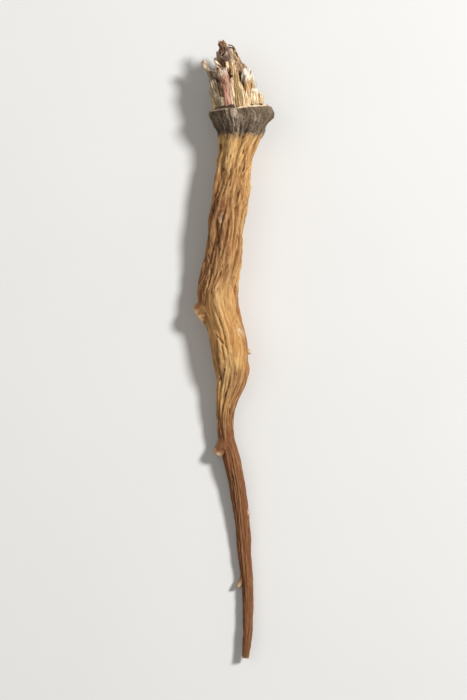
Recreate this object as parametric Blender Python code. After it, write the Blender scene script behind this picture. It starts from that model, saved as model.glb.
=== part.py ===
# Dried dandelion root with its crown, lying on a flat surface
#
# The root is one grown piece. Its taproot runs from a dark collar down to a snapped tail, in the
# long folds that it dried into. Above the collar stands a short crown, ringed by the stubs of old
# leaf stalks. Two side roots have snapped off and left stumps, and a few rootlets are left.
#
# Frame: +Z up, +Y towards the crown, origin on the surface under the middle of the root.

import math

import bmesh
import bpy
import numpy as np
from mathutils import Vector, noise

MM = 0.001

# Driving dimensions, in millimetres. The collar's centre is measured from the origin, and every
# place along the root is measured from the collar.
COLLAR_ACROSS = 1.4
COLLAR_ALONG = 45.0
COLLAR_TOP = 1.6
COLLAR_END = -3.4
COLLAR_FADE = 1.2

# Relief of the bark. A count is the radius of the ring that noise is read from, so a larger one
# gives more folds round the root, and a length is how far the relief runs before it changes.
FOLD_COUNT = 3.0
FOLD_LENGTH = 9.5
FOLD_START = 7.3
FOLD_STEEPNESS = 2.6
FOLD_DEPTH = 0.29  # as a share of the root's radius
FOLD_TWIST = 0.012  # in radians per millimetre
SWELLING_COUNT = 0.7
SWELLING_LENGTH = 9.0
SWELLING_HEIGHT = 0.13  # as a share of the root's radius
CRUMB_COUNT = 3.4
CRUMB_LENGTH = 1.5
CRUMB_HEIGHT = 0.75
WANDER_COUNT = 1.4
WANDER_REACH = 1.3  # how far the collar's edges wander along the root
FOLDS_ON_COLLAR = 0.3  # the share of the folds and of the swelling that the collar keeps
SWELLING_ON_COLLAR = 0.4

# Mesh density: where each ring spacing starts along the root, and the spacing
ROOT_SIDES = 44
RING_STEPS = ((12.9, 1.0), (4.0, 0.55), (-4.5, 1.15), (-52.0, 2.1))
STALK_SIDES = 10
STALK_RINGS = 5
STUMP_SIDES = 12
STUMP_RINGS = 4

# The taproot's line and girth: along, across and up give the middle of each section, then come
# half its width and half its height.
SECTIONS = (
    (12.9, -2.7, 6.0, 0.3, 0.3),
    (11.7, -2.5, 6.0, 1.2, 1.1),
    (9.4, -2.0, 5.9, 2.0, 1.9),
    (6.2, -1.2, 5.8, 3.2, 3.0),
    (3.5, -0.6, 5.7, 4.1, 3.8),
    (2.1, -0.4, 5.6, 4.7, 4.3),
    (1.5, -0.3, 5.6, 5.5, 5.0),
    (0.2, 0.15, 5.3, 6.25, 5.6),
    (-1.6, 0.15, 5.3, 5.3, 4.85),
    (-3.1, 0.0, 5.3, 4.4, 4.2),
    (-4.5, -0.25, 5.25, 3.8, 3.8),
    (-6.0, -0.6, 5.2, 3.45, 3.5),
    (-9.0, -1.1, 5.1, 3.25, 3.35),
    (-12.0, -1.55, 5.0, 3.3, 3.4),
    (-15.0, -2.0, 4.9, 3.5, 3.55),
    (-19.5, -2.65, 4.7, 3.55, 3.6),
    (-24.0, -3.1, 4.45, 3.4, 3.5),
    (-30.0, -3.85, 4.15, 3.4, 3.5),
    (-34.6, -4.4, 4.0, 3.75, 3.9),
    (-37.5, -4.0, 4.0, 3.75, 3.9),
    (-40.6, -2.95, 4.1, 3.6, 3.75),
    (-46.0, -1.95, 4.0, 3.35, 3.5),
    (-48.8, -1.7, 3.8, 3.2, 3.3),
    (-51.1, -1.9, 3.45, 2.8, 2.8),
    (-54.8, -2.7, 3.15, 2.0, 2.05),
    (-58.5, -3.0, 2.85, 1.55, 1.6),
    (-61.6, -2.8, 2.65, 1.52, 1.55),
    (-66.7, -1.55, 2.3, 1.6, 1.6),
    (-71.4, -0.6, 1.95, 1.57, 1.6),
    (-81.1, 0.5, 1.25, 1.3, 1.3),
    (-92.8, 1.3, 1.35, 1.0, 1.0),
    (-99.8, 1.3, 1.75, 0.85, 0.85),
    (-104.6, 0.9, 2.1, 0.6, 0.6),
)

# Stubs of old leaf stalks: bearing round the crown in degrees (90 faces up), seat along the
# crown, length, width, lean away from the crown in degrees, and curl of the tip outwards.
STALKS = (
    (114, 1.9, 6.9, 2.1, 0, 0.2),
    (76, 1.5, 4.6, 2.2, 6, 0.4),
    (42, 1.5, 3.7, 2.4, -6, 0.4),
    (48, 3.4, 5.6, 2.2, 12, 0.3),
    (150, 1.6, 5.6, 2.1, 3, 0.3),
    (182, 1.4, 3.4, 2.4, 6, 0.4),
    (170, 4.0, 6.0, 1.6, 21, 0.8),
    (82, 4.2, 5.9, 2.0, -2, 0.2),
    (136, 5.2, 4.6, 1.7, 4, 0.5),
    (110, 6.6, 8.0, 2.3, -4, -0.3),
    (50, 7.0, 5.2, 1.7, 0, 0.3),
    (8, 1.5, 4.2, 2.5, -14, 0.3),
    (335, 1.6, 5.0, 2.3, -12, 0.4),
    (300, 1.5, 4.0, 2.5, -4, 0.4),
    (265, 1.6, 4.8, 2.4, 5, 0.3),
    (232, 1.5, 5.4, 2.3, 6, 0.5),
    (206, 1.6, 4.2, 2.4, 8, 0.4),
    (22, 4.0, 4.4, 2.0, -6, 0.3),
    (318, 4.2, 5.6, 2.0, -4, 0.4),
    (282, 4.6, 4.6, 1.9, 4, 0.3),
    (218, 4.4, 5.4, 2.0, 7, 0.5),
    (345, 7.2, 4.2, 1.7, -6, 0.2),
    (245, 7.0, 5.6, 1.8, 3, 0.3),
)
STALK_THICKNESS = 0.9
STALK_SEAT = 0.86  # where its foot is centred, as a share of the crown's radius
STALK_SINK = 1.6  # length of each stub that is sunk into the crown
STALK_CLASP = 0.5  # how far its edges wrap in towards the crown
STALK_FOOT = 1.45  # width at the foot and at the tip, as a share of the width listed
STALK_TIP = 0.72
STALK_TEAR = 1.5  # most that one side of a torn end stands past the other
TEAR_VARIETY = 7.0  # degrees of bearing over which the tear changes

# Stumps of side roots and short rootlets: along, bearing in degrees (180 faces -X), length from
# the root's middle, radius at the foot and at the end, and slant towards the tail in degrees.
STUMPS = (
    (-35.6, 180, 4.9, 3.2, 1.9, 37),
    (-62.6, 176, 3.2, 1.7, 1.05, 52),
    (-12.0, 8, 4.5, 0.9, 0.6, 30),
    (-40.2, 52, 4.6, 1.5, 0.9, 35),
    (-43.6, 6, 4.6, 0.8, 0.45, 25),
    (-27.0, 305, 5.2, 0.9, 0.45, 55),
    (-73.5, 12, 3.6, 0.8, 0.4, 60),
    (-88.0, 170, 3.2, 0.7, 0.4, 58),
)

# Colour and roughness of the taproot, the collar and the crown
FINISHES = (
    ("bark", (0.50, 0.29, 0.115, 1.0), 0.78),
    ("collar_bark", (0.115, 0.085, 0.06, 1.0), 0.92),
    ("leaf_stalk", (0.56, 0.38, 0.22, 1.0), 0.72),
)

SECTION_PLACES = np.array([row[0] for row in SECTIONS])[::-1]
SECTION_VALUES = np.array([row[1:] for row in SECTIONS])[::-1]
SECTION_SLOPES = np.gradient(SECTION_VALUES, SECTION_PLACES, axis=0)


def section(along):
    """Across, up, half width and half height of the taproot, on a smooth curve through SECTIONS."""
    last = len(SECTION_PLACES) - 2
    i = int(np.clip(np.searchsorted(SECTION_PLACES, along) - 1, 0, last))
    gap = SECTION_PLACES[i + 1] - SECTION_PLACES[i]
    t = (along - SECTION_PLACES[i]) / gap
    near = (1 + 2 * t) * SECTION_VALUES[i] + t * gap * SECTION_SLOPES[i]
    far = (3 - 2 * t) * SECTION_VALUES[i + 1] - (1 - t) * gap * SECTION_SLOPES[i + 1]
    return (1 - t) ** 2 * near + t**2 * far


def facing(bearing):
    """The unit direction that points away from the root's line at a bearing in radians."""
    return Vector((math.cos(bearing), 0, math.sin(bearing)))


def around(bearing, count, along, length):
    """A place to read noise at: it goes once round a ring and drifts slowly along the root."""
    turn = bearing + FOLD_TWIST * along
    return Vector((count * math.cos(turn), count * math.sin(turn), along / length))


def fold(bearing, along):
    """Height of the long folds: 0 in a crease, up to 1 on a rounded ridge."""
    place = around(bearing, FOLD_COUNT, along, FOLD_LENGTH) + Vector((0, 0, FOLD_START))
    return min(1.0, FOLD_STEEPNESS * abs(noise.noise(place)))


def on_collar(along):
    """1 on the collar's dark band, fading to 0 just past its two edges."""
    below = np.clip((along - COLLAR_END) / COLLAR_FADE, 0, 1)
    above = np.clip((COLLAR_TOP - along) / COLLAR_FADE + 0.5, 0, 1)
    return float(below * above)


def on_surface(along, bearing):
    """A point of the taproot's bark."""
    collar = on_collar(along)
    wander = WANDER_REACH * collar * noise.noise(around(bearing, WANDER_COUNT, 0, 1))
    across, up, _, _ = section(along)
    _, _, half_width, half_height = section(along + wander)
    swelling = noise.noise(around(bearing, SWELLING_COUNT, along, SWELLING_LENGTH))
    crumb = noise.noise(around(bearing, CRUMB_COUNT, along, CRUMB_LENGTH))
    size = 1 + SWELLING_HEIGHT * (1 + (SWELLING_ON_COLLAR - 1) * collar) * swelling
    size += FOLD_DEPTH * (1 + (FOLDS_ON_COLLAR - 1) * collar) * (fold(bearing, along) - 0.5)
    size += CRUMB_HEIGHT * collar * crumb / half_width
    x = across + half_width * size * math.cos(bearing)
    z = up + half_height * size * math.sin(bearing)
    return Vector((x, along, z))


def swept(name, sides, rings, place):
    """A closed cylinder whose points go where place(share of its length, angle round it) says."""
    shape = bmesh.new()
    bmesh.ops.create_cone(shape, cap_ends=True, segments=sides, radius1=1, radius2=1, depth=1)
    long_edges = [e for e in shape.edges if abs(e.verts[0].co.z - e.verts[1].co.z) > 0.5]
    bmesh.ops.subdivide_edges(shape, edges=long_edges, cuts=rings - 2, use_grid_fill=True)
    for vertex in shape.verts:
        point = place(0.5 - vertex.co.z, math.atan2(vertex.co.y, vertex.co.x))
        vertex.co = (point + Vector((COLLAR_ACROSS, COLLAR_ALONG, 0))) * MM
    bmesh.ops.recalc_face_normals(shape, faces=shape.faces)
    mesh = bpy.data.meshes.new(name)
    shape.to_mesh(mesh)
    shape.free()
    return bpy.data.objects.new(name, mesh)


def ring_places():
    """Where the taproot's rings lie along it: close together on the crown and collar."""
    ends = [start for start, _ in RING_STEPS[1:]] + [SECTIONS[-1][0]]
    places = [[SECTIONS[0][0]]]
    for (start, step), end in zip(RING_STEPS, ends):
        places.append(np.linspace(start, end, round((start - end) / step) + 1)[1:])
    return np.concatenate(places)


def taproot():
    """The taproot and the crown's core, flattened where it lies on the surface."""
    places = ring_places()

    def place(share, angle):
        point = on_surface(float(places[round(share * (len(places) - 1))]), angle)
        point.z = max(point.z, 0.0)
        return point

    return swept("dandelion_root", ROOT_SIDES, len(places), place)


def stalk(bearing_degrees, seat, length, width, lean, curl):
    """The stub of one leaf stalk: a flat strap that clasps the crown and leans away from it."""
    bearing = math.radians(bearing_degrees)
    across, up, half_width, half_height = section(seat)
    above = section(seat + 1)
    line = Vector((above[0] - across, 1, above[1] - up)).normalized()
    line = (line + math.tan(math.radians(lean)) * facing(bearing)).normalized()
    sideways = line.cross(facing(bearing)).normalized()
    outwards = sideways.cross(line)
    foot = Vector((across, seat, up))
    foot.x += STALK_SEAT * half_width * math.cos(bearing)
    foot.z += STALK_SEAT * half_height * math.sin(bearing)
    tear = STALK_TEAR * noise.noise(Vector((bearing_degrees / TEAR_VARIETY, seat, 0)))

    def place(share, angle):
        side = math.cos(angle)
        half = 0.5 * width * (STALK_FOOT + (STALK_TIP - STALK_FOOT) * share)
        out = 0.5 * STALK_THICKNESS * math.sin(angle) - STALK_CLASP * side**2 + curl * share**2
        reach = share * (length + STALK_SINK) - STALK_SINK + tear * side * share**2
        return foot + line * reach + outwards * out + sideways * (half * side)

    return swept("stalk", STALK_SIDES, STALK_RINGS, place)


def stump(along, bearing_degrees, length, foot_radius, end_radius, slant):
    """What is left of a side root: a short tapering stub that slants towards the tail."""
    across, up, _, _ = section(along)
    foot = Vector((across, along, up))
    outwards = facing(math.radians(bearing_degrees))
    tilt = math.radians(slant)
    line = math.cos(tilt) * outwards - math.sin(tilt) * Vector((0, 1, 0))
    sideways = line.cross(outwards).normalized()
    normal = sideways.cross(line)

    def place(share, angle):
        radius = foot_radius + (end_radius - foot_radius) * share
        ring = math.cos(angle) * sideways + math.sin(angle) * normal
        return foot + line * (share * length) + ring * radius

    return swept("stump", STUMP_SIDES, STUMP_RINGS, place)


def fused(root, pieces):
    """Joins the stubs and stumps to the taproot in one solid, and removes their objects."""
    group = bpy.data.collections.new("joined_pieces")
    bpy.context.scene.collection.children.link(group)
    for piece in pieces:
        group.objects.link(piece)
    union = root.modifiers.new("join", "BOOLEAN")
    union.operation = "UNION"
    union.operand_type = "COLLECTION"
    union.collection = group
    bpy.context.view_layer.objects.active = root
    bpy.ops.object.modifier_apply(modifier=union.name)
    for piece in pieces:
        bpy.data.objects.remove(piece)
    bpy.data.collections.remove(group)


def finish(root):
    """Golden-brown bark on the taproot, dark bark on the collar and pale stalk on the crown."""
    root.data.materials.clear()
    for name, colour, roughness in FINISHES:
        material = bpy.data.materials.new(name)
        material.use_nodes = True
        shader = material.node_tree.nodes["Principled BSDF"]
        shader.inputs["Base Color"].default_value = colour
        shader.inputs["Roughness"].default_value = roughness
        shader.inputs["Metallic"].default_value = 0.0
        root.data.materials.append(material)
    for face in root.data.polygons:
        along = face.center.y / MM - COLLAR_ALONG
        face.material_index = int(along > COLLAR_END) + int(along > COLLAR_TOP)
    root.data.shade_smooth()


def main():
    for obj in list(bpy.data.objects):
        bpy.data.objects.remove(obj)
    parts = bpy.data.collections.new("dandelion_root")
    bpy.context.scene.collection.children.link(parts)
    root = taproot()
    parts.objects.link(root)
    fused(root, [stalk(*row) for row in STALKS] + [stump(*row) for row in STUMPS])
    finish(root)


main()
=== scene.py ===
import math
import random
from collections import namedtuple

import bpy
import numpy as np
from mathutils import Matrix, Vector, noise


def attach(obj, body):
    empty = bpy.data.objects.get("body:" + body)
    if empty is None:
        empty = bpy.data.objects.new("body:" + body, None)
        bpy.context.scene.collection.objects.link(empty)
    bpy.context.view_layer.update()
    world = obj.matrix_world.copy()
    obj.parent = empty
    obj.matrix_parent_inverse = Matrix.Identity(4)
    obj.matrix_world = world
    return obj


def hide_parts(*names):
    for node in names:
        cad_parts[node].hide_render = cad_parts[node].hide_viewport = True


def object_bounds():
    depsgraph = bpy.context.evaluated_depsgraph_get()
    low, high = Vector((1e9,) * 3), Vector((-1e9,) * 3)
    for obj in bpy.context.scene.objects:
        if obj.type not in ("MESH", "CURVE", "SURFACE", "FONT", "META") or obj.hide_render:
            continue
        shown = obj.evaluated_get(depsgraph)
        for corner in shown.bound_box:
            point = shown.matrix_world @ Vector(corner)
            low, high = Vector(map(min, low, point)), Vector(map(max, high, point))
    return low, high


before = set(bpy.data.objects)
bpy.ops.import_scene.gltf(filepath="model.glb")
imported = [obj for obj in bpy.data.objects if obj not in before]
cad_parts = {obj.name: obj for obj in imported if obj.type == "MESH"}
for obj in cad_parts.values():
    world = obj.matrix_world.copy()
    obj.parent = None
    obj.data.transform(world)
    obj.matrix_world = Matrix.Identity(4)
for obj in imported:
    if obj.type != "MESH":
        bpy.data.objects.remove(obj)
cad_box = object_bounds()

# Dried dandelion root with its crown, lying on a pale surface
#
# The bark is one fine skin over the whole taproot, in the same folds as the solid that it stands
# for. The crown above its dark collar is made of torn leaf stalks, papery scales and fibres.
# Lengths are in millimetres, or in metres in the finishes and the studio. Angles are in degrees.
# "Along" is measured from the collar's centre towards the crown, and "bearing" goes round the root,
# where 90 faces up.

MM = 0.001
NODE = "dandelion_root"
BODY = "root"

# Where the collar's centre lies from the origin, and where its dark band ends along the root
COLLAR_ACROSS = 1.4
COLLAR_ALONG = 45.0
COLLAR_TOP = 1.6
COLLAR_END = -3.4
COLLAR_FADE = 1.2

# Relief is noise read on a ring round the root. A larger count is a larger ring with more folds on
# it. Then come how far a fold runs along the root, where in the noise it starts, and its height.
Relief = namedtuple("Relief", "count length start height")

# Relief that the solid has too. Swellings and folds are as high as that share of the root's radius.
SWELLINGS = Relief(0.7, 9, 0, 0.13)
FOLDS = Relief(3, 9.5, 7.3, 0.29)
LUMPS = Relief(3.4, 1.5, 0, 0.75)
WANDER = Relief(1.4, 1e9, 0, 1.3)  # of the collar's flare along the root
FOLD_STEEPNESS = 2.6
FOLD_TWIST = 0.012  # in radians per millimetre
SWELLINGS_ON_COLLAR = 0.4
FOLDS_ON_COLLAR = 0.3

# The taproot's line and girth: along, across and up give the middle of each section, then come
# half its width and half its height.
SECTIONS = (
    (12.9, -2.7, 6, 0.3, 0.3), (11.7, -2.5, 6, 1.2, 1.1), (9.4, -2, 5.9, 2, 1.9),
    (6.2, -1.2, 5.8, 3.2, 3), (3.5, -0.6, 5.7, 4.1, 3.8), (2.1, -0.4, 5.6, 4.7, 4.3),
    (1.5, -0.3, 5.6, 5.5, 5), (0.2, 0.15, 5.3, 6.25, 5.6), (-1.6, 0.15, 5.3, 5.3, 4.85),
    (-3.1, 0, 5.3, 4.4, 4.2), (-4.5, -0.25, 5.25, 3.8, 3.8), (-6, -0.6, 5.2, 3.45, 3.5),
    (-9, -1.1, 5.1, 3.25, 3.35), (-12, -1.55, 5, 3.3, 3.4), (-15, -2, 4.9, 3.5, 3.55),
    (-19.5, -2.65, 4.7, 3.55, 3.6), (-24, -3.1, 4.45, 3.4, 3.5), (-30, -3.85, 4.15, 3.4, 3.5),
    (-34.6, -4.4, 4, 3.75, 3.9), (-37.5, -4, 4, 3.75, 3.9), (-40.6, -2.95, 4.1, 3.6, 3.75),
    (-46, -1.95, 4, 3.35, 3.5), (-48.8, -1.7, 3.8, 3.2, 3.3), (-51.1, -1.9, 3.45, 2.8, 2.8),
    (-54.8, -2.7, 3.15, 2, 2.05), (-58.5, -3, 2.85, 1.55, 1.6), (-61.6, -2.8, 2.65, 1.52, 1.55),
    (-66.7, -1.55, 2.3, 1.6, 1.6), (-71.4, -0.6, 1.95, 1.57, 1.6), (-81.1, 0.5, 1.25, 1.3, 1.3),
    (-92.8, 1.3, 1.35, 1, 1), (-99.8, 1.3, 1.75, 0.85, 0.85), (-104.6, 0.9, 2.1, 0.6, 0.6),
)
SECTION_PLACES = np.array([row[0] for row in SECTIONS])[::-1]
SECTION_VALUES = np.array([row[1:] for row in SECTIONS])[::-1]
SECTION_SLOPES = np.gradient(SECTION_VALUES, SECTION_PLACES, axis=0)

# Stumps of side roots and short rootlets: along, bearing, length from the root's middle, radius at
# the foot and at the end, and slant towards the tail
STUMPS = (
    (-35.6, 180, 4.9, 3.2, 1.9, 37),
    (-62.6, 176, 3.2, 1.7, 1.05, 52),
    (-12, 8, 3.95, 0.9, 0.6, 30),
    (-39.2, 42, 4.6, 1.5, 0.9, 35),
    (-43.6, 6, 4.6, 0.8, 0.45, 25),
    (-27, 305, 5.2, 0.9, 0.45, 55),
    (-73.5, 12, 3.6, 0.8, 0.4, 60),
    (-88, 170, 3.2, 0.7, 0.4, 58),
)
STUMP_FLARE = 0.55  # how softly a stump grows out of the bark
STUMP_RAGGED = 0.35
CUT_EDGE = 0.05  # how far the pale wood shows past the rim of its end

# The fine skin: points round it, cuts along it, and where its rings crowd together
SKIN_SIDES = 152  # like the collar's, a multiple of four, so that a point lies at bearing 0
SKIN_CUTS = 24
SKIN_SPACING = ((12.9, 0.3), (4.0, 0.2), (-2.0, 0.15), (-48.0, 0.19), (-104.3, 0.25))

# Relief that only the fine skin has
SWAY = Relief(1.5, 6, 31, 0.3)  # of the wrinkles, in radians
LENSES = Relief(4.4, 2.9, 53, 0.2)
WRINKLES = Relief(6.6, 3.6, 3.7, 0.17)
FIBRES = Relief(13, 1.9, 11, 0.11)
RINGS = Relief(2.2, 0.42, 5, 0.07)
PITS = Relief(7, 1.6, 23, 0.16)
CRACKS = Relief(5.2, 3.8, 61, 0.14)
NET = Relief(2.6, 6, 91, 0.07)  # long soft creases on the smoother plates
PIT_FROM = 0.47
CRACK_WIDTH = 0.05
NET_WIDTH = 0.06
# Where rings, cracks and net show, with how sharply they come and go in place of a height
RINGS_SHOWN = Relief(1.2, 7, 17, 3)
CRACKS_SHOWN = Relief(2.4, 4.5, 67, 4)
NET_SHOWN = Relief(2.4, 4.5, 97, 3)
FOLD_SOFTENING = 0.6  # share of the solid's fold depth that the skin keeps under its wrinkles
CALM_ALONG = -42.0  # where the bark lies in broader and smoother plates
CALM_REACH = 14.0
CALM_SHARE = 0.6
UNDER_COLLAR = 0.4  # how far the bark lies below the collar's own skin
GRAIN_RADIUS = 3.6  # of the straightened root that the bark's pattern is drawn on
# Towards the tail the bark is mixed towards rust with this strength, between these two places: partly
# its own colour, partly painted shade.
TAIL_RUST_AND_SHADE = 1.4
TAIL_DARKENING_FROM = -52.0
TAIL_DARKENING_FULL = -63.0

# The collar's own skin, which lies over the bark from just inside the crown to its ragged edge
COLLAR_SIDES = 340
COLLAR_CUTS = 10
COLLAR_SPAN = (2.9, -6.2)
COLLAR_DROP = 0.6  # how far its skin reaches past the flare's own end
COLLAR_RIM = 1.25  # where its upper edge lies along the root, and how far that tilts up on the right
COLLAR_RIM_TILT = 0.55
COLLAR_PROUD = -0.04
COLLAR_TUCK = 0.6
LUMP_SHARE = 0.5  # share of the solid's lumps that the collar keeps under its flakes
FLAKES = Relief(11, 1.9, 71, 0.2)
STREAKS = Relief(12, 3.4, 73, 0.19)
CROSS_CRACKS = Relief(6, 0.4, 77, 0.1)
GRIT = Relief(28, 1.8, 41, 0.2)
DUST = Relief(46, 0.3, 47, 0.07)
TONGUES = Relief(4, 3, 81, 1.5)  # of the lower edge along the root, with the fringe on them
FRINGE = Relief(19, 4, 83, 2.2)

# Points stay in the solid's box. The crown's thin tips may pass its end a little, and at its sides
# points are held back softly.
TIP_ALLOWANCE = 0.7
SIDE_SOFTNESS = 0.35
SIDE_REACH = 9.0  # how far past a side a point can be when that begins

# Scars and creases: along, bearing, half length, half width, turn, and how high the rim and how
# deep the middle is
SCARS = (
    (-19.8, 104, 0.8, 0.6, 0, 0.16, 0.2),
    (-41.4, 42, 1.1, 0.9, 0, 0.17, 0.24),
    (-10.6, 72, 0.9, 0.35, 12, 0.1, 0.22),
    (-31, 128, 2, 0.35, 8, 0.12, 0.4),
    (-31.4, 95, 1.9, 0.35, -14, 0.12, 0.35),
    (-43.4, 112, 1.9, 0.32, 34, 0.1, 0.24),
    (-24.5, 250, 1, 0.7, 0, 0.15, 0.25),
    (-15.4, 205, 0.8, 0.55, 15, 0.15, 0.25),
    (-50.5, 290, 0.9, 0.6, -10, 0.15, 0.25),
    (-56.8, 60, 0.9, 0.3, 20, 0.1, 0.2),
    (-7.5, 300, 0.8, 0.6, 0, 0.15, 0.2),
)
SCAR_WIDTH = 0.4  # half width past which one shows its pale wood

# Redder patches of the bark: along, bearing, half length, half width and strength. The two at bearing 18
# along the lower right edge are painted shade.
RUSTY_AND_SHADED_PATCHES = (
    (-23, 95, 10, 6, 0.6), (-22, 125, 6, 2.8, 1), (-24, 164, 12, 4.2, 1),
    (-19.6, 104, 2, 1.4, 1), (-17, 150, 3, 1.2, 0.8), (-27.5, 160, 4.5, 1.6, 0.9),
    (-25, 80, 3.4, 0.7, 0.8), (-18, 76, 3, 0.5, 0.7), (-33.5, 140, 3, 1.2, 0.7),
    (-9, 165, 4, 1, 0.6), (-52, 72, 3, 1.3, 0.7), (-47, 130, 3.5, 0.9, 0.6),
    (-64, 110, 6, 1.6, 0.6), (-20, 300, 7, 2.4, 0.6), (-44, 250, 6, 2.2, 0.6),
    # The first two patches on the next line, at bearing 18, are painted shade along the lower right
    # edge.
    (-41, 18, 8, 1.3, 0.7), (-54, 18, 5, 1.3, 1), (-12, 122, 1.8, 1, 0.8),
    (-18.5, 118, 2.4, 1.4, 1.2), (-46, 172, 4, 0.9, 0.6),
)

# Paler stretches of the bark, in the same terms; those along the top, near bearing 90, are partly pale
# bark and partly painted highlight.
PALE_BARK_AND_HIGHLIGHT = (
    (-33.5, 86, 5, 1.7, 0.7), (-39.5, 100, 4, 1, 0.5), (-49, 98, 4.6, 1.6, 1),
    (-50, 120, 3.6, 1.1, 1.4), (-30.5, 120, 2.4, 0.9, 0.9), (-27.5, 96, 3.4, 0.9, 0.9),
    (-15.2, 94, 1.8, 0.9, 0.9), (-8, 118, 3.4, 1.3, 1), (-5.8, 160, 2, 1.2, 1.6),
    (-22.5, 90, 2.4, 0.6, 0.8), (-30, 70, 2.4, 0.9, 0.8), (-36, 230, 5, 1.4, 0.5),
    (-14, 320, 4, 1.2, 0.5),
)

# Pale streaks on the collar, in the same terms
PALE_STREAKS = (
    (-1.4, 101, 2.4, 0.5, 1.4), (-1, 116, 1.4, 0.2, 0.8), (-2.6, 88, 1.4, 0.2, 0.9),
    (-0.2, 66, 1.2, 0.16, 0.6), (-1.4, 58, 0.9, 0.12, 0.6), (-1.2, 140, 1, 0.14, 0.6),
    (-2, 46, 1.2, 0.16, 0.6), (-1, 210, 1.6, 0.2, 0.7), (-1.8, 300, 1.8, 0.2, 0.7),
    (-0.8, 340, 1.3, 0.16, 0.6), (-2.2, 15, 1.2, 0.16, 0.6),
)

# Leaf stalk stubs: bearing, seat along the crown, length, width, lean, curl, thickness, how far the
# tip bends outwards and sideways, and finish
STALKS = (
    (117, 1.8, 7.3, 2.2, 2, 0.2, 1.1, 6, -3, "pink"),
    (76, 2.8, 4.4, 2.4, -6, 0.1, 0.8, -20, -14, "amber"),
    (42, 2.6, 2.8, 2.4, -14, 0.1, 0.8, -10, -22, "amber"),
    (57, 3, 6, 2, 7, 0.3, 1, -6, 14, "hollow"),
    (150, 1.5, 5.6, 2.5, 3, 0.2, 0.7, 6, -8, "moss"),
    (182, 1.8, 3.6, 2.4, 8, 0.2, 0.8, -10, 0, "moss"),
    (168, 4, 7.4, 0.75, 15, 0.2, 0.5, 4, 0, "ash"),
    (84, 4.2, 5.9, 2.2, -2, 0.2, 0.8, -25, -16, "amber"),
    (136, 5.2, 4.6, 1.8, 4, 0.4, 0.8, 30, -10, "umber"),
    (112, 6.6, 8, 1.7, -4, -0.2, 1.2, 10, 6, "chestnut"),
    (50, 7, 4.4, 1.5, -6, 0.2, 0.7, -40, 0, "ash"),
    (8, 1.9, 2.6, 2.6, -18, 0.2, 0.8, -10, 8, "straw"),
    (335, 1.9, 4.6, 2.4, -16, 0.2, 0.9, -20, 10, "cream"),
    (300, 1.9, 4, 2.6, -4, 0.4, 0.9, 10, -15, "umber"),
    (265, 1.9, 4.8, 2.5, 5, 0.3, 0.9, -15, 0, "moss"),
    (232, 1.9, 5.4, 2.4, 6, 0.4, 0.9, 20, 12, "straw"),
    (206, 1.9, 4.2, 2.5, 2, 0.2, 0.9, 0, 0, "pink"),
    (22, 4, 3, 1.9, -16, 0.2, 0.9, -10, -10, "amber"),
    (318, 4.2, 5.2, 2.1, -8, 0.3, 0.9, -25, -20, "pink"),
    (282, 4.6, 4.6, 2, 4, 0.3, 0.9, 20, 25, "straw"),
    (218, 4.4, 5.4, 1.9, 5, 0.4, 1.2, 30, 0, "hollow"),
    (345, 7.2, 3.8, 1.7, -10, 0.2, 0.9, -35, 0, "chestnut"),
    (245, 7, 5.6, 1.8, 3, 0.3, 0.9, -30, 25, "ash"),
    (100, 7.6, 5.2, 1.6, 2, 0.2, 0.9, 46, -10, "mauve"),
)
STALK_SEAT = 0.86
STALK_SINK = 1.6
STALK_CLASP = 0.5
STALK_FLARES = {"pink": (0.85, 1.1), "hollow": (1.1, 1.0), "mauve": (1.0, 1.1)}
STALK_FLARE = (1.4, 0.85)  # width at the foot and at the tip, as a share of the width listed
STALK_TEAR = 1.5
TEAR_VARIETY = 7.0
STALK_SIDES = 44
STALK_CUTS = 26
STALK_WALL = 0.15  # share of the end face that is the wall round its hollow
STALK_HOLLOW = 0.13  # depth of that hollow as a share of the stub's length
STALK_STRIPS = 7  # how many strips a torn end is split into
STALK_VEINS = 17.0
STALK_VEIN_HEIGHT = 0.1
STALK_CRUMPLE = 0.34
STALK_JAG = 1.5  # how far the strips of a torn end differ in length
TUBE_JAG = 0.8  # the same on a stub that is a hollow tube
TUBES = ("pink", "hollow", "mauve")

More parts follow.
